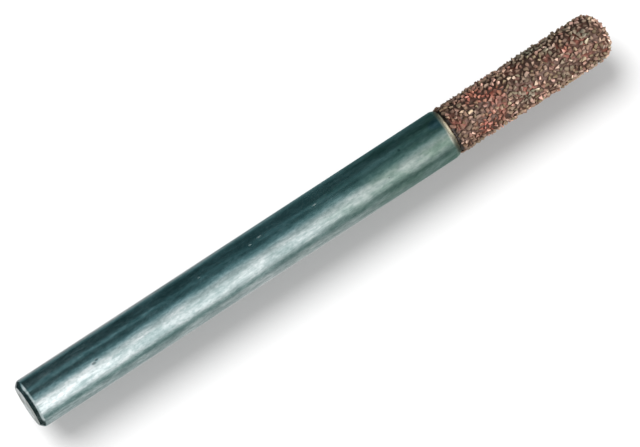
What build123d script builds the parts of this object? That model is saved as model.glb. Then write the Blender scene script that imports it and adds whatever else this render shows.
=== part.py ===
from build123d import *
import os
from itertools import pairwise
from math import acos, degrees, pi, radians, sin
from random import Random

# A carbide grit burr for a rotary tool, in millimetres. It stands on the flat end of its shank,
# with its origin at the centre of that end and +Z towards the grit.

# Shank
shank_diameter = 3.175
shank_length = 29.85
tail_chamfer = 0.25
shoulder_round = 0.25

# Grit-coated head, measured over the tips of the grains. Its nose is a shallow cap with a rounded corner.
head_diameter = 3.2
head_length = 11.425
cap_radius = 2.2
corner_radius = 1.1

# Coat
braze_thickness = 0.1
grain_height = 0.2
grain_pitch = 0.34
grain_gap = 0.02

# An uneven grain: how far its foot's corners reach into its place, how many peaks it has, how far they stand
# from its middle, and how high they are, each as a share of the full size
foot_reach = (0.66, 1)
peak_counts = (2, 3)
peak_spread = (0.3, 0.85)
peak_rise = (0.55, 1)

# Uneven spacing of the grains. Drift and lean are shares of their spacing, and the turns are in degrees.
border_drift = 0.22
border_lean = 0.2
wave_height = 0.1
waves_around = 3
wave_turn = 32
tip_grain_corners = 5
batch = 20261

# Sizes that follow from the ones above
shank_radius = shank_diameter / 2
head_radius = head_diameter / 2
overall_length = shank_length + head_length
corner_sweep = degrees(acos((head_radius - corner_radius) / (cap_radius - corner_radius)))
cap_rise = (cap_radius - corner_radius) * sin(radians(corner_sweep))
nose_start = overall_length - cap_radius + cap_rise
braze_inset = grain_height
core_inset = grain_height + braze_thickness


def head_outline(inset):
    """Draws the head's outline from the shoulder to the tip, this far inside the tips of the grains."""
    side = Line((head_radius - inset, shank_length), (head_radius - inset, nose_start))
    corner = JernArc(side @ 1, side % 1, corner_radius - inset, corner_sweep)
    cap = JernArc(corner @ 1, corner % 1, cap_radius - inset, 90 - corner_sweep)
    return side @ 0, cap @ 1


def head_section(inset):
    """Half the section of the round-nosed head, this far inside the tips of the grains."""
    with BuildSketch(Plane.XZ) as half:
        with BuildLine():
            foot, tip = head_outline(inset)
            Polyline(tip, (0, shank_length), foot)
        make_face()
    return half.sketch


# Shank and core, turned from one bar
with BuildPart() as steel_shank:
    Cylinder(shank_radius, shank_length, align=(Align.CENTER, Align.CENTER, Align.MIN))
    chamfer(steel_shank.edges().group_by(Axis.Z)[0], tail_chamfer)
    fillet(steel_shank.edges().group_by(Axis.Z)[-1], shoulder_round)
    revolve(head_section(core_inset), axis=Axis.Z)

# Copper braze, a sleeve with a closed round nose over the core
with BuildPart() as braze_coat:
    revolve(head_section(braze_inset), axis=Axis.Z)
    revolve(head_section(core_inset), axis=Axis.Z, mode=Mode.SUBTRACT)


# The braze's outline carries the grains: one on the tip, then courses of them down to the shoulder
with BuildLine(Plane.XZ) as braze_outline:
    head_outline(braze_inset)
braze_path = braze_outline.wire()
tip_reach = grain_pitch / 2
courses = round((braze_path.length - tip_reach) / grain_pitch)
course_width = (braze_path.length - tip_reach) / courses


def on_braze(along, turn):
    """The plane that touches the braze this far from its tip along the outline, at this turn about the axis."""
    above = braze_path.length - along
    point = braze_path.position_at(above, position_mode=PositionMode.LENGTH)
    outward = braze_path.tangent_at(above, position_mode=PositionMode.LENGTH).rotate(Axis.Y, 90)
    return Plane(point.rotate(Axis.Z, turn), z_dir=outward.rotate(Axis.Z, turn))


def crushed_grain(seat, corners, draw):
    """One grain, with its flat foot on the seat, just inside these corners, and its peaks above the foot."""
    foot = []
    for along, turn in corners:
        corner = seat.to_local_coords(on_braze(along, turn).origin)
        foot.append(Vector(corner.X, corner.Y) * (1 - grain_gap / grain_pitch) * draw.uniform(*foot_reach))
    peaks = []
    for corner in draw.sample(foot, draw.choice(peak_counts)):
        rise = Vector(0, 0, grain_height * draw.uniform(*peak_rise))
        peaks.append(corner * draw.uniform(*peak_spread) + rise)
    points = [seat.from_local_coords(point) for point in foot + peaks]
    return ConvexPolyhedron(points, mode=Mode.PRIVATE)


def course_border(course, turn):
    """How far from the tip the course starts at this turn. The borders wave, but not at the coat's two ends."""
    inner = 0 < course < courses
    wave = wave_height * inner * sin(radians(waves_around * turn + wave_turn * course))
    return tip_reach + course * course_width + wave


def course_of_grains(course, draw):
    """One course of grains round the head, parted by borders that drift and lean."""
    middle = tip_reach + (course + 0.5) * course_width
    count = round(2 * pi * on_braze(middle, 0).origin.X / grain_pitch)
    width = 360 / count
    start = draw.uniform(0, 360)
    borders = []
    for border in range(count):
        turn = start + width * (border + draw.uniform(-border_drift, border_drift))
        lean = width * draw.uniform(-border_lean, border_lean)
        borders.append((turn - lean, turn + lean))
    borders.append(tuple(turn + 360 for turn in borders[0]))
    grains = []
    for left, right in pairwise(borders):
        upper = [(course_border(course, turn), turn) for turn in (left[0], right[0])]
        lower = [(course_border(course + 1, turn), turn) for turn in (right[1], left[1])]
        centre = sum(left + right) / 4
        grains.append(crushed_grain(on_braze(middle, centre), upper + lower, draw))
    return grains


# Crushed tungsten carbide, in one layer
draw = Random(batch)
tip_corners = [(tip_reach, 360 / tip_grain_corners * corner) for corner in range(tip_grain_corners)]
with BuildPart() as carbide_grit:
    grains = [crushed_grain(on_braze(0, 0), tip_corners, draw)]
    for course in range(courses):
        grains += course_of_grains(course, draw)
    add(grains)

steel_shank.part.label = "steel_shank"
braze_coat.part.label = "braze_coat"
carbide_grit.part.label = "carbide_grit"

os.makedirs("parts", exist_ok=True)
export_step(steel_shank.part, "parts/steel_shank.step")
export_step(braze_coat.part, "parts/braze_coat.step")
export_step(carbide_grit.part, "parts/carbide_grit.step")
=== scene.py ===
from math import acos, cos, pi, radians, sin
from random import Random

import bpy
from mathutils import Matrix, Vector, noise
from mathutils.kdtree import KDTree


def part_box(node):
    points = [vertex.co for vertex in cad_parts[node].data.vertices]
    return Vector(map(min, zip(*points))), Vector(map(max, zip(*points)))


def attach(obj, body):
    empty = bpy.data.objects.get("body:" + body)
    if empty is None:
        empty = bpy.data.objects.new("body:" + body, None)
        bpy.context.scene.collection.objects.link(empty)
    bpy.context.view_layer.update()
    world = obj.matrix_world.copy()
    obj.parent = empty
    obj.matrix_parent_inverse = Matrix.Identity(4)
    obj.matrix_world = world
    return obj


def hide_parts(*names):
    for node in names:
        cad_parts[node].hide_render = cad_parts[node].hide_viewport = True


# A carbide grit burr, standing on the flat end of its shank. The camera looks nearly square on to its
# axis, from a little below that end, and lies on its side, so that the burr slopes up across the picture.
#
# Sizes are in metres, as the frame is. A finish counts in millimetres from the middle of the tail face,
# and gives a place on the round surface by its turn about the axis, in degrees, from 0 at the camera's
# side to 90 at the burr's right.

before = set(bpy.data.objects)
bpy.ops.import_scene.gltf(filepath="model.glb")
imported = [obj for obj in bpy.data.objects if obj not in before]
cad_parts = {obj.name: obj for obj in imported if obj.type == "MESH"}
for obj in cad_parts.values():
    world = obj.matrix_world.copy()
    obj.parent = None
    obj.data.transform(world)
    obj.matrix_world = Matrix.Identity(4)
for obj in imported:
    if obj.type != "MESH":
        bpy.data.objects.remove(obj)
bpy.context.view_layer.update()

mm = 0.001

# Sizes of the burr, as in the source
shank_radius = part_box("steel_shank")[1].x
shank_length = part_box("braze_coat")[0].z
head_length = 11.425 * mm
head_radius = 1.6 * mm
cap_radius = 2.2 * mm
corner_radius = 1.1 * mm
braze_inset = 0.2 * mm
core_inset = 0.3 * mm
overall_length = shank_length + head_length
corner_sweep = acos((head_radius - corner_radius) / (cap_radius - corner_radius))
cap_centre = overall_length - cap_radius
nose_start = cap_centre + (cap_radius - corner_radius) * sin(corner_sweep)

# The shoulder's height, as the finishes count it
shoulder = shank_length / mm

# Worn edges of the shank
tail_chamfer = 0.25 * mm
tail_round = 0.3 * mm
shoulder_in = 0.26 * mm
shoulder_down = 0.42 * mm
edge_steps = 10

# The photograph's view
picture = (640, 447)
burr_middle = (319.4, 215.6)
pixels_per_mm = 16.95
burr_slope = radians(33.15)
tail_shows = radians(9.5)
lens = 300
sensor = 36


def srgb(red, green, blue):
    """A colour given by its display values, as a socket takes it."""
    return tuple(((value / 255 + 0.055) / 1.055) ** 2.4 for value in (red, green, blue)) + (1,)


white = srgb(255, 255, 255)


class Wire:
    """A node's output. Python's operators on it add the Math nodes."""

    def __init__(self, board, socket):
        self.board = board
        self.socket = socket

    def __getitem__(self, name):
        """Another output of the same node."""
        return Wire(self.board, self.socket.node.outputs[name])

    def __add__(self, other):
        return self.board.maths("ADD", self, other)

    def __sub__(self, other):
        return self.board.maths("SUBTRACT", self, other)

    def __rsub__(self, other):
        return self.board.maths("SUBTRACT", other, self)

    def __mul__(self, other):
        return self.board.maths("MULTIPLY", self, other)

    def __truediv__(self, other):
        return self.board.maths("DIVIDE", self, other)

    __radd__ = __add__
    __rmul__ = __mul__


class Board:
    """A node tree, and what is laid out on it."""

    def __init__(self, tree):
        self.tree = tree
        tree.nodes.clear()

    def node(self, kind, settings=(), values=(), output=0):
        """Adds a node with these settings and socket values or links, and gives one of its outputs."""
        added = self.tree.nodes.new(kind)
        for name, setting in dict(settings).items():
            if name == "stops":
                lay_stops(added.color_ramp, setting)
            else:
                setattr(added, name, setting)
        for name, value in dict(values).items():
            for one in value if isinstance(value, list) else [value]:
                if isinstance(one, Wire):
                    self.tree.links.new(one.socket, added.inputs[name])
                else:
                    added.inputs[name].default_value = one
        return Wire(self, added.outputs[output]) if added.outputs else None

    def maths(self, operation, *values):
        return self.node("ShaderNodeMath", {"operation": operation}, dict(enumerate(values)))

    def vector(self, operation, *values, output=0):
        return self.node("ShaderNodeVectorMath", {"operation": operation}, dict(enumerate(values)), output)

    def fade(self, value, start, end):
        """0 before start, 1 past end, and smooth between them. The end may be the lower one."""
        return self.node("ShaderNodeMapRange", {"interpolation_type": "SMOOTHSTEP"},
                         {"Value": value, "From Min": start, "From Max": end})

    def mix(self, share, first, second, blend="MIX"):
        """Two colours mixed. The node's sockets go by number, since its kinds share their names."""
        return self.node("ShaderNodeMix", {"data_type": "RGBA", "blend_type": blend},
                         {0: share, 6: first, 7: second}, output=2)

    def ramp(self, value, stops):
        return self.node("ShaderNodeValToRGB", {"stops": stops}, {0: value})

    def place(self, stretch=(1, 1, 1)):
        """Where a point is on the piece, in millimetres, stretched for a pattern that runs along it."""
        spot = self.node("ShaderNodeTexCoord", output="Object")
        return self.vector("MULTIPLY", spot, tuple(share / mm for share in stretch))

    def height(self, spot):
        return self.node("ShaderNodeSeparateXYZ", {}, {0: spot})["Z"]

    def noise(self, spot, scale, detail=2, roughness=0.5):
        return self.node("ShaderNodeTexNoise", {}, {"Vector": spot, "Scale": scale, "Detail": detail,
                                                    "Roughness": roughness})

    def patch(self, spot, radius, mark):
        """1 in the middle of a patch of the round surface, and 0 beyond its soft edge. A mark is the turn
        and height of its middle, and its reach round the burr and along it."""
        turn, height, wide, tall = mark
        middle = (radius / mm * sin(radians(turn)), -radius / mm * cos(radians(turn)), height)
        apart = self.vector("SUBTRACT", spot, middle)
        away = self.vector("LENGTH", self.vector("DIVIDE", apart, (wide, wide, tall)), output="Value")
        return self.fade(away, 1.0, 0.4)

    def patches(self, spot, radius, marks):
        return sum(self.patch(spot, radius, mark) for mark in marks)

    def finish(self, surface):
        self.node("ShaderNodeOutputMaterial", {}, {"Surface": surface})


def lay_stops(ramp, stops):
    """Sets a colour ramp's stops, each a place and a colour."""
    while len(ramp.elements) < len(stops):
        ramp.elements.new(1)
    for element, (place, colour) in zip(ramp.elements, stops):
        element.position = place
        element.color = colour


def new_material(name):
    material = bpy.data.materials.new(name)
    material.use_nodes = True
    return material, Board(material.node_tree)


def new_object(name, data):
    made = bpy.data.objects.new(name, data)
    bpy.context.scene.collection.objects.link(made)
    return made


# Outlines, as (radius, height) points from the axis at the bottom to the axis at the top

def arc(centre, radius, start, end, steps):
    """Points on an arc, from one slope to another."""
    slopes = [start + (end - start) * step / steps for step in range(steps + 1)]
    return [(centre[0] + radius * cos(slope), centre[1] + radius * sin(slope)) for slope in slopes]


def head_reach(inset):
    """How long the head's outline is from the shoulder to the tip, this far inside the grains' tips."""
    corner = (corner_radius - inset) * corner_sweep
    cap = (cap_radius - inset) * (pi / 2 - corner_sweep)
    return nose_start - shank_length + corner + cap


def head_point(inset, reach):
    """Radius, height and slope of the head's outline, this far along it from the shoulder."""
    corner = corner_radius - inset
    cap = cap_radius - inset
    past_side = reach - (nose_start - shank_length)
    past_corner = past_side - corner * corner_sweep
    if past_side < 0:
        return head_radius - inset, shank_length + reach, 0
    if past_corner < 0:
        slope = past_side / corner
        return head_radius - corner_radius + corner * cos(slope), nose_start + corner * sin(slope), slope
    slope = corner_sweep + past_corner / cap
    return cap * cos(slope), cap_centre + cap * sin(slope), slope


def head_outline(inset, rows):
    """The head's outline from the shoulder to the tip."""
    side = [head_point(inset, head_reach(inset) * row / rows)[:2] for row in range(rows)]
    return side + [(0, head_point(inset, head_reach(inset))[1])]


def turned(name, outline, sectors):
    """A closed solid, turned from an outline whose ends lie on the axis."""
    rings = [[(0, 0, outline[0][1])]]
    for radius, height in outline[1:-1]:
        turns = [2 * pi * sector / sectors for sector in range(sectors)]
        rings.append([(radius * sin(turn), -radius * cos(turn), height) for turn in turns])
    rings.append([(0, 0, outline[-1][1])])
    corners, firsts = [], []
    for ring in rings:
        firsts.append(len(corners))
        corners += ring
    faces = []
    for below, above, first, last in zip(rings, rings[1:], firsts, firsts[1:]):
        for sector in range(sectors):
            after = (sector + 1) % sectors
            face = [first + sector % len(below), first + after % len(below),
                    last + after % len(above), last + sector % len(above)]
            faces.append(list(dict.fromkeys(face)))
    mesh = bpy.data.meshes.new(name)
    mesh.from_pydata(corners, [], faces)
    mesh.validate()
    mesh.shade_smooth()
    mesh.set_sharp_from_angle(angle=radians(40))
    return new_object(name, mesh)


# Steel shank

plain_steel = srgb(206, 214, 214)
highlight_pale_steel = srgb(226, 231, 232)
green_tarnish = srgb(169, 186, 172)
grey_tarnish = srgb(176, 188, 181)
blue_tarnish = srgb(128, 150, 178)
drift_shade = srgb(208, 219, 219)
streak_shade = srgb(228, 232, 232)
grain_shade = srgb(227, 232, 232)
fresh_scratch = srgb(240, 244, 242)
painted_pit_shade = srgb(52, 62, 66)
# Colour of the painted highlight along the shoulder's rounded edge
painted_shoulder_highlight = srgb(240, 236, 220)
tail_smear = srgb(66, 92, 78)

# Heights between which the heat's tarnish comes in, how far that wanders, and below which the steel is
# palest, a painted brightening of the highlight
heat_start, heat_full = 16, 30
heat_wander = 8
highlight_full_below = 3

# How far below the shoulder its painted highlight line fades in, and how bright it is where it is faintest
line_start, line_full = 0.45, 0.3
line_least = 0.25

# Marks on the shank, each by its turn, its height and its reach round and along
scratches = [(-29, 16.0, 0.07, 0.14), (-34, 16.7, 0.06, 0.2), (-26, 20.5, 0.07, 0.2),
             (-31, 12.4, 0.05, 0.12), (148, 9.0, 0.08, 0.5), (-120, 22.0, 0.08, 0.4)]
# Pits are small dents; the dark colour laid into them is painted shade
pits = [(-25, 26.5, 0.13, 0.12), (-3, 4.7, 0.08, 0.15), (1, 4.45, 0.1, 0.2), (14, 25.1, 0.06, 0.06),
        (172, 17.0, 0.12, 0.15)]
heat_tint = (-30, 29.3, 0.5, 0.8)
brighter_highlight_patches = [(-3, 29.7, 1.4, 1.0), (100, 29.7, 0.9, 1.0), (-150, 29.7, 1.3, 1.0)]


def steel_finish():
    """Ground steel, drawn out lengthwise, paler towards the tail as a painted brightening of its
    highlight, and darker and heat-stained towards the braze. It has scratches, pits whose dark colour is
    painted shade, a painted highlight along the shoulder's rounded edge, and dull smears on the tail face."""
    material, board = new_material("heat_stained_steel")
    spot = board.place()
    height = board.height(spot)
    streaks = board.noise(board.place((1, 1, 0.17)), 3.6, 3, 0.6)
    drift = board.noise(board.place((1, 1, 0.3)), 1.4, 3)
    grain = board.noise(board.place((1, 1, 0.55)), 5.0, 2, 0.6)
    cloud = board.noise(board.place((1, 1, 0.4)), 0.8, 2)
    smears = board.noise(board.place((1, 0.35, 1)), 1.5, 2)

    heat = board.fade(height + heat_wander * (cloud - 0.5), heat_start, heat_full)
    # Paler steel towards the tail: a painted brightening of the highlight there
    bare = board.mix(board.fade(height, heat_start, highlight_full_below), plain_steel, highlight_pale_steel)
    stained = board.mix(board.fade(drift, 0.42, 0.6), green_tarnish, grey_tarnish)
    colour = board.mix(heat, bare, stained)
    colour = board.mix(0.5 * board.patch(spot, shank_radius, heat_tint), colour, blue_tarnish)
    for pattern, start, end, shade in ((drift, 0.35, 0.65, drift_shade),
                                       (streaks, 0.4, 0.62, streak_shade),
                                       (grain, 0.35, 0.63, grain_shade)):
        layer = board.mix(board.fade(pattern, start, end), shade, white)
        colour = board.mix(1.0, colour, layer, "MULTIPLY")

    scratch = board.patches(spot, shank_radius, scratches)
    pit = board.patches(spot, shank_radius, pits)
    # A painted highlight along the shoulder's rounded edge, brighter in patches
    line = board.fade(height, shoulder - line_start, shoulder - line_full)
    line = line * (line_least + (1 - line_least) * board.patches(spot, shank_radius, brighter_highlight_patches))
    dulled = board.fade(height, 0.03, 0.01) * board.fade(smears, 0.44, 0.56)
    for share, shade in ((0.7 * scratch, fresh_scratch), (0.5 * pit, painted_pit_shade), (line, painted_shoulder_highlight),
                         (0.9 * dulled, tail_smear)):
        colour = board.mix(share, colour, shade)

    rough = 0.2 + 0.08 * streaks + 0.08 * heat + 0.3 * scratch + 0.05 * line
    relief = 0.02 * drift + 0.003 * streaks + 0.002 * grain - 0.008 * scratch - 0.004 * pit
    bump = board.node("ShaderNodeBump", {}, {"Distance": mm, "Height": relief})
    board.finish(board.node("ShaderNodeBsdfPrincipled", {}, {
        "Base Color": colour, "Metallic": 1.0, "Roughness": rough, "Normal": bump}))
    return material


def make_shank():
    """The bar, with its chamfered tail, its worn shoulder and the core that the braze covers."""
    edge = shank_radius - tail_chamfer
    worn_edge = (shank_radius - tail_round, tail_chamfer + tail_round * (2 ** 0.5 - 1))
    outline = [(0, 0), (edge / 2, 0), (edge, 0)]
    outline += arc(worn_edge, tail_round, -pi / 4, 0, edge_steps)
    outline += [(shank_radius - shoulder_in * (1 - out), shank_length - shoulder_down * (1 - up))
                for out, up in arc((0, 0), 1, 0, pi / 2, edge_steps)]
    outline += head_outline(core_inset, rows=40)
    shank = turned("shank", outline, sectors=160)
    shank.data.materials.append(steel_finish())
    return shank


# Braze and grit

# Seats of the grains: how far apart at least, how far above the shoulder, and how far inside their tips
grain_space = 0.24 * mm
first_row = 0.13 * mm
grain_seat = 0.16 * mm
scatter_tries = 60000


def scatter_grains(draw):
    """Seats for the grains, each a point and the way out of the coat there. They keep their space."""
    reach = head_reach(grain_seat)
    cells, seats = {}, []
    for _ in range(scatter_tries):
        along = draw.uniform(first_row, reach)
        turn = draw.uniform(0, 2 * pi)
        radius, height, slope = head_point(grain_seat, along)
        if draw.random() > radius / head_radius:
            continue
        seat = Vector((radius * sin(turn), -radius * cos(turn), height))
        cell = tuple(round(value / grain_space) for value in seat)
        near = [cells.get((cell[0] + x, cell[1] + y, cell[2] + z), ()) for x in (-1, 0, 1)
                for y in (-1, 0, 1) for z in (-1, 0, 1)]
        if all((other - seat).length > grain_space for group in near for other in group):
            cells.setdefault(cell, []).append(seat)
            outward = Vector((cos(slope) * sin(turn), -cos(slope) * cos(turn), sin(slope)))
            seats.append((seat, outward))
    return seats


dull_braze = (srgb(64, 46, 39), srgb(108, 80, 68))
red_braze = (srgb(100, 58, 48), srgb(154, 94, 78))
groove_shade_colour = srgb(44, 34, 28)

# How far above the shoulder the painted shade in the groove at the braze's foot reaches
groove_shade_until, groove_shade_full = 0.3, 0.12

# How high the braze climbs at a grain and how far from it, its lumps, and how far it sinks between grains.
# Its foot on the shoulder stays flat, and on the nose it swells out from a point inside the head.
climb_height = 0.09 * mm
climb_reach = 0.22 * mm
lump_height = 0.04 * mm
lump_size = 0.5 * mm
braze_sink = 0.03 * mm
flat_foot = 0.02 * mm
swell_below_nose = 0.4 * mm


def braze_finish():
    """Dark fluxed copper braze, redder in places, with painted shade in the narrow groove next to the
    shoulder.
    """
    material, board = new_material("copper_braze")
    spot = board.place()
    bloom = board.noise(spot, 0.9, 2)
    mottle = board.noise(spot, 4.0, 4, 0.6)
    dull = board.mix(mottle, *dull_braze)
    red = board.mix(mottle, *red_braze)
    colour = board.mix(board.fade(bloom, 0.52, 0.7), dull, red)
    # Painted shade in the groove between the shoulder and the first grains
    groove_shade = board.fade(board.height(spot) - shoulder, groove_shade_until, groove_shade_full)
    colour = board.mix(groove_shade, colour, groove_shade_colour)
    bump = board.node("ShaderNodeBump", {}, {"Strength": 0.3, "Distance": 0.03 * mm, "Height": mottle})
    board.finish(board.node("ShaderNodeBsdfPrincipled", {}, {
        "Base Color": colour, "Metallic": 0.4, "Roughness": 0.45 + 0.2 * mottle, "Normal": bump}))
    return material


def make_braze(seats):
    """The braze, lumpy, and drawn up round each grain."""
    tree = KDTree(len(seats))
    for number, (seat, _) in enumerate(seats):
        tree.insert(seat, number)
    tree.balance()
    outline = [(0, shank_length), (head_radius - core_inset, shank_length)]
    outline += head_outline(braze_inset, rows=200)
    braze = turned("braze", outline, sectors=220)
    for corner in braze.data.vertices:
        if corner.co.z - shank_length <= flat_foot:
            continue
        middle = Vector((0, 0, min(corner.co.z, nose_start - swell_below_nose)))
        outward = (corner.co - middle).normalized()
        _, _, gap = tree.find(corner.co)
        climb = climb_height * max(0, 1 - gap / climb_reach)
        lump = lump_height * noise.noise(corner.co / lump_size)
        corner.co += outward * (climb + lump - braze_sink)
    braze.data.materials.append(braze_finish())
    return braze


# Colours of the grains from the darkest to the palest, and the casts that turn them greener or pinker
carbide_tones = [(0, srgb(154, 127, 113)), (0.5, srgb(181, 152, 136)), (0.85, srgb(200, 172, 157)),
                 (1, srgb(220, 196, 183))]
carbide_casts = [(0, srgb(228, 240, 214)), (0.3, srgb(244, 240, 226)), (0.7, srgb(255, 240, 236)),
                 (1, srgb(255, 226, 222))]
grey_flux = srgb(134, 134, 116)
copper_red = srgb(202, 112, 96)
shoulder_brown = srgb(112, 78, 62)
braze_stain = srgb(88, 64, 52)
copper_stain = srgb(136, 72, 58)

# How far above the shoulder the grains turn browner
browned_until, browned_fully = 2.2, 0.4

# Patches of the coat where copper or grey flux shows more, given as the marks on the shank are
coppery = [(36, 32.1, 0.9, 1.4), (-44, 32.0, 0.8, 1.0), (-15, 33.0, 0.8, 1.2), (-10, 38.4, 0.4, 0.5),
           (110, 34.0, 0.8, 1.4), (-150, 37.0, 0.9, 1.2)]
mossy = [(5, 34.8, 1.3, 1.1), (-12, 39.4, 0.8, 0.9), (-20, 37.3, 0.7, 0.8), (-70, 36.0, 0.8, 1.5),
         (150, 33.0, 0.9, 1.5)]


def grit_finish():
    """Crushed carbide: bare and pale at the tips of the grains, and stained by the braze lower down. It is
    coppery or mossy in patches, and browner towards the shoulder."""
    material, board = new_material("crushed_carbide")
    spot = board.place()
    tone = board.node("ShaderNodeAttribute", {"attribute_name": "grain_tone"}, output="Fac")
    rise = board.node("ShaderNodeAttribute", {"attribute_name": "grain_rise"}, output="Fac")
    bloom = board.noise(spot, 0.9, 2)
    broken = board.fade(board.noise(spot, 2.6, 2) + 0.2 * (tone - 0.5), 0.3, 0.52)
    moss = board.noise(board.place((0.8, 0.8, 0.45)), 0.9, 2)

    cast = board.ramp(board.maths("FRACT", tone * 7), carbide_casts)
    bare = board.mix(1.0, board.ramp(tone, carbide_tones), cast, "MULTIPLY")
    grey = 0.4 * board.fade(moss, 0.52, 0.64) + 0.5 * board.patches(spot, head_radius, mossy)
    copper = broken * board.patches(spot, head_radius, coppery)
    copper = 0.6 * copper + 0.25 * broken * board.fade(bloom, 0.64, 0.74)
    browned = board.fade(board.height(spot), shoulder + browned_until, shoulder + browned_fully)
    colour = board.mix(grey, bare, grey_flux)
    colour = board.mix(copper, colour, copper_red)
    colour = board.mix(0.35 * browned, colour, shoulder_brown)
    stain = board.mix(copper, braze_stain, copper_stain)
    colour = board.mix(board.fade(rise, -0.04, 0.1), stain, colour)
    board.finish(board.node("ShaderNodeBsdfPrincipled", {}, {
        "Base Color": colour, "Metallic": 0.35, "Roughness": 0.34 + 0.2 * tone}))
    return material


# How the grains are crushed: how many kinds, from how many corners, how flat, and how big
grain_kinds = 12
grain_corners = 11
grain_flatness = (1, 0.74, 0.62)
smallest_grain = 0.178 * mm
largest_grain = 0.245 * mm
grit_seed = 7

# A Random Value node's first socket and its output, for each kind of value
random_sockets = {"FLOAT_VECTOR": (0, 0), "FLOAT": (2, 1), "INT": (4, 2)}


def grit_recipe():
    """Geometry nodes that set one of several crushed grains on each seat."""
    tree = bpy.data.node_groups.new("grit_recipe", "GeometryNodeTree")
    inputs = {"Seats": "Geometry", "Corners": "Int", "Smallest": "Float", "Largest": "Float",
              "Seed": "Int", "Finish": "Material"}
    for name, kind in inputs.items():
        tree.interface.new_socket(name, in_out="INPUT", socket_type="NodeSocket" + kind)
    tree.interface.new_socket("Grit", in_out="OUTPUT", socket_type="NodeSocketGeometry")
    board = Board(tree)
    given = board.node("NodeGroupInput")

    def random_value(kind, low, high, seed):
        first, output = random_sockets[kind]
        return board.node("FunctionNodeRandomValue", {"data_type": kind},
                          {first: low, first + 1: high, "Seed": given["Seed"] + seed}, output)

    def store(geometry, domain, name, value):
        return board.node("GeometryNodeStoreNamedAttribute", {"data_type": "FLOAT", "domain": domain},
                          {"Geometry": geometry, "Name": name, "Value": value})

    def seat_value(name):
        return board.node("GeometryNodeInputNamedAttribute", {"data_type": "FLOAT_VECTOR"}, {"Name": name})

    shapes = []
    for shape in range(grain_kinds):
        scatter = random_value("FLOAT_VECTOR", (-1, -1, -1), (1, 1, 1), 10 + shape)
        corners = board.vector("MULTIPLY", board.vector("NORMALIZE", scatter), grain_flatness)
        cloud = board.node("GeometryNodePoints", {}, {"Count": given["Corners"], "Position": corners})
        hull = board.node("GeometryNodeConvexHull", {}, {0: cloud})
        shapes.append(board.node("GeometryNodeGeometryToInstance", {}, {0: hull}))
    grains = board.node("GeometryNodeInstanceOnPoints", {}, {
        "Points": given["Seats"], "Instance": board.node("GeometryNodeJoinGeometry", {}, {0: shapes}),
        "Pick Instance": True, "Instance Index": random_value("INT", 0, grain_kinds - 1, 3),
        "Rotation": random_value("FLOAT_VECTOR", (0, 0, 0), (2 * pi, 2 * pi, 2 * pi), 1),
        "Scale": random_value("FLOAT", given["Smallest"], given["Largest"], 2)})
    toned = store(grains, "INSTANCE", "grain_tone", random_value("FLOAT", 0.0, 1.0, 4))
    real = board.node("GeometryNodeRealizeInstances", {}, {"Geometry": toned})
    above_seat = board.vector("SUBTRACT", board.node("GeometryNodeInputPosition"), seat_value("seat"))
    rise = board.vector("DOT_PRODUCT", above_seat, seat_value("outward"), output="Value")
    risen = store(real, "POINT", "grain_rise", rise / mm)
    done = board.node("GeometryNodeSetMaterial", {}, {"Geometry": risen, "Material": given["Finish"]})
    board.node("NodeGroupOutput", {}, {0: done})
    return tree


def make_grit(seats):
    """The grains, in one mesh."""
    host = bpy.data.meshes.new("grit_seats")
    host.from_pydata([seat for seat, _ in seats], [], [])
    for name, group in (("seat", [seat for seat, _ in seats]), ("outward", [way for _, way in seats])):
        values = host.attributes.new(name, "FLOAT_VECTOR", "POINT")
        values.data.foreach_set("vector", [part for vector in group for part in vector])
    grit = new_object("grit", host)
    modifier = grit.modifiers.new("grit", "NODES")
    modifier.node_group = grit_recipe()
    chosen = {"Corners": grain_corners, "Smallest": smallest_grain, "Largest": largest_grain,
              "Seed": grit_seed, "Finish": grit_finish()}
    for socket in modifier.node_group.interface.items_tree:
        if socket.name in chosen:
            modifier[socket.identifier] = chosen[socket.name]
    bpy.context.view_layer.update()
    depsgraph = bpy.context.evaluated_depsgraph_get()
    grit.data = bpy.data.meshes.new_from_object(grit.evaluated_get(depsgraph))
    grit.modifiers.clear()
    return grit


# Stage: paper behind and under the burr, a tent round it for the metal to reflect, lamps and the camera

paper_reach = 400 * mm
wall_behind = 4 * mm
floor_level = -0.02 * mm
soft_fill = 0.6

# The tent, in millimetres
tent_radius = 60
tent_bottom = -70
tent_top = 130


def one_sided_paper(name, colour, glow):
    """Paper that can be seen from its front only."""
    material, board = new_material(name)
    paper = board.node("ShaderNodeBsdfPrincipled", {}, {
        "Base Color": colour, "Roughness": 1.0, "Specular IOR Level": 0.0, "Emission Color": (1, 1, 1, 1),
        "Emission Strength": glow})
    clear = board.node("ShaderNodeBsdfTransparent")
    from_behind = board.node("ShaderNodeNewGeometry", output="Backfacing")
    board.finish(board.node("ShaderNodeMixShader", {}, {0: from_behind, 1: paper, 2: clear}))
    return material


def sheet(name, corners, finish):
    mesh = bpy.data.meshes.new(name)
    mesh.from_pydata(corners, [], [(0, 1, 2, 3)])
    made = new_object(name, mesh)
    mesh.materials.append(finish)
    made.visible_shadow = made.visible_glossy = made.visible_diffuse = False
    return made


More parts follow.
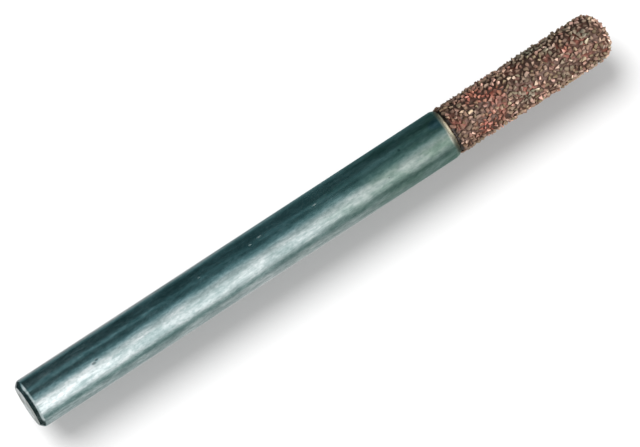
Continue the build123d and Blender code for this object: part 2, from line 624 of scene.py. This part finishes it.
def surroundings():
    """What the metal reflects: a tall bright panel to the front right, dimmer towards its top, a pale one
    behind it, another to the left rear, a faint slit to the left, pale paper above and in front below, a
    small pale card behind the tail, and a dark room elsewhere. Dim places are blue-green and bright ones
    white."""
    material, board = new_material("surroundings")
    spot = board.node("ShaderNodeSeparateXYZ", {}, {0: board.place()})
    across, depth, height = spot["X"], spot["Y"], spot["Z"]
    turn = board.maths("ARCTAN2", across, depth * -1) * (180 / pi)
    reach = board.maths("SQRT", across * across + depth * depth)
    beside_tail = board.fade(height, 18, 12)
    beside_head = board.fade(height, 30, 38)

    def along(tail, middle, head):
        """A value that differs beside the tail, the middle and the head of the burr."""
        return middle + (tail - middle) * beside_tail + (head - middle) * beside_head

    near_edge = board.fade(turn, along(-36, -45, -45), along(40, 44, 44))
    far_edge = board.fade(turn, along(90, 90, 77), along(50, 50, 39))
    panel = near_edge * far_edge * along(1.55, 1.45, 1.15)
    rear_level = 0.48 + 0.18 * board.fade(height, 19, 25) - 0.38 * beside_head
    right_rear = board.fade(turn, along(71, 62, 62), 114) * rear_level
    left_rear = board.fade(turn, -105, -160) * (0.5 - 0.38 * board.fade(height, 14, 38))
    slit = along(0.2, 0.08, 0.22) * board.fade(turn, -69, -55) * board.fade(turn, -38, -52)
    beside = along(0.05, 0.08, 0.1) + panel + right_rear + left_rear + slit

    # Below the tail, on the tent's wall but not on its floor: paper in front, and only the card behind
    behind = board.fade(board.maths("ABSOLUTE", turn), 95, 120)
    card = board.fade(board.maths("ABSOLUTE", across), 24, 14) * board.fade(height, -24, -18)
    on_wall = board.fade(reach, tent_radius - 1, tent_radius - 0.5)
    paper = 0.04 + 0.86 * (on_wall * (1 - behind + behind * card))

    # High above the tip: paper from the left to just past the middle
    canopy = 0.95 * board.fade(height, 78, 100) * board.fade(across, -72, -20) * board.fade(across, 40, 10)
    canopy = 0.1 + canopy

    below = board.fade(height, -3, -8)
    above = board.fade(height, 52, 60)
    level = beside * (1 - below) * (1 - above) + below * paper + above * canopy
    dim = board.mix(board.fade(turn, 20, 70), (0.42, 1.0, 1.11, 1), (0.51, 1.0, 0.94, 1))
    tint = board.mix(board.fade(level + left_rear + 0.5 * right_rear, 0.07, 1.05), dim, (1, 1, 1, 1))
    tint = board.mix(above, tint, srgb(255, 250, 232))
    board.finish(board.node("ShaderNodeEmission", {}, {"Color": tint, "Strength": level}))
    material.cycles.emission_sampling = "NONE"
    return material


def add_lamp(name, towards, strength, spread, lit):
    """A distant soft lamp that shines this way, on these pieces only."""
    lamp = new_object(name, bpy.data.lights.new(name, "SUN"))
    lamp.data.energy = strength
    lamp.data.angle = radians(spread)
    lamp.rotation_mode = "QUATERNION"
    lamp.rotation_quaternion = Vector(towards).to_track_quat("-Z", "Y")
    group = bpy.data.collections.new(name + "_lights")
    for piece in lit:
        group.objects.link(piece)
    lamp.light_linking.receiver_collection = group


def set_stage(coated):
    """The papers, the tent, which shows in reflections only, and a lamp each for the wall, the floor and
    the coated pieces."""
    square = [(-paper_reach, -paper_reach), (paper_reach, -paper_reach), (paper_reach, paper_reach),
              (-paper_reach, paper_reach)]
    wall = sheet("backdrop", [(x, wall_behind, z) for x, z in square],
                 one_sided_paper("white_paper", srgb(222, 222, 222), glow=0.08))
    floor = sheet("floor", [(x, y, floor_level) for x, y in square],
                  one_sided_paper("pale_paper", srgb(240, 240, 240), glow=0.0))
    outline = [(0, tent_bottom), (tent_radius, tent_bottom), (tent_radius, tent_top), (0, tent_top)]
    tent = turned("tent", [(radius * mm, height * mm) for radius, height in outline], sectors=96)
    tent.data.materials.append(surroundings())
    tent.visible_camera = tent.visible_diffuse = tent.visible_shadow = tent.visible_transmission = False
    add_lamp("wall_lamp", towards=(2.1, 4.0, 0.98), strength=3.05, spread=29, lit=[wall])
    add_lamp("floor_lamp", towards=(0.4, 0.5, -1), strength=2.2, spread=40, lit=[floor])
    add_lamp("key_lamp", towards=(-0.4, 0.85, -0.35), strength=2.8, spread=12, lit=coated)


def set_world():
    """White where it is seen, and a plain soft fill elsewhere."""
    world = bpy.data.worlds.new("fill")
    bpy.context.scene.world = world
    world.use_nodes = True
    board = Board(world.node_tree)
    ray = board.node("ShaderNodeLightPath")
    seen = board.maths("MAXIMUM", ray["Is Camera Ray"], ray["Is Glossy Ray"])
    seen = board.maths("MAXIMUM", seen, ray["Is Transmission Ray"])
    strength = soft_fill + (1 - soft_fill) * seen
    light = board.node("ShaderNodeBackground", {}, {"Color": (1, 1, 1, 1), "Strength": strength})
    board.node("ShaderNodeOutputWorld", {}, {"Surface": light})


def set_camera():
    """The photograph's view: the burr's middle, slope and scale are as in the picture."""
    ahead = Vector((0, cos(tail_shows), sin(tail_shows)))
    along = Vector((0, -sin(tail_shows), cos(tail_shows)))
    across = Vector((1, 0, 0))
    right = across * sin(burr_slope) + along * cos(burr_slope)
    up = along * sin(burr_slope) - across * cos(burr_slope)
    pixel = mm / pixels_per_mm
    middle = Vector((0, 0, overall_length / 2))
    middle += right * (picture[0] / 2 - burr_middle[0]) * pixel
    middle += up * (burr_middle[1] - picture[1] / 2) * pixel
    camera = new_object("camera", bpy.data.cameras.new("camera"))
    camera.data.lens = lens
    camera.data.sensor_width = sensor
    camera.data.clip_start = 0.01
    camera.data.clip_end = 10
    stand = Matrix((right, up, -ahead)).transposed().to_4x4()
    stand.translation = middle - ahead * picture[0] * lens / sensor * pixel
    camera.matrix_world = stand
    bpy.context.scene.camera = camera


seats = scatter_grains(Random(4))
shank = make_shank()
braze = make_braze(seats)
grit = make_grit(seats)
for piece, node, slot in ((shank, "steel_shank", "shank_steel"), (braze, "braze_coat", "copper_braze"),
                          (grit, "carbide_grit", "tungsten_carbide")):
    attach(piece, "root")
    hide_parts(node)

set_stage(coated=[braze, grit])
set_world()
set_camera()
bpy.context.scene.view_settings.view_transform = "Standard"
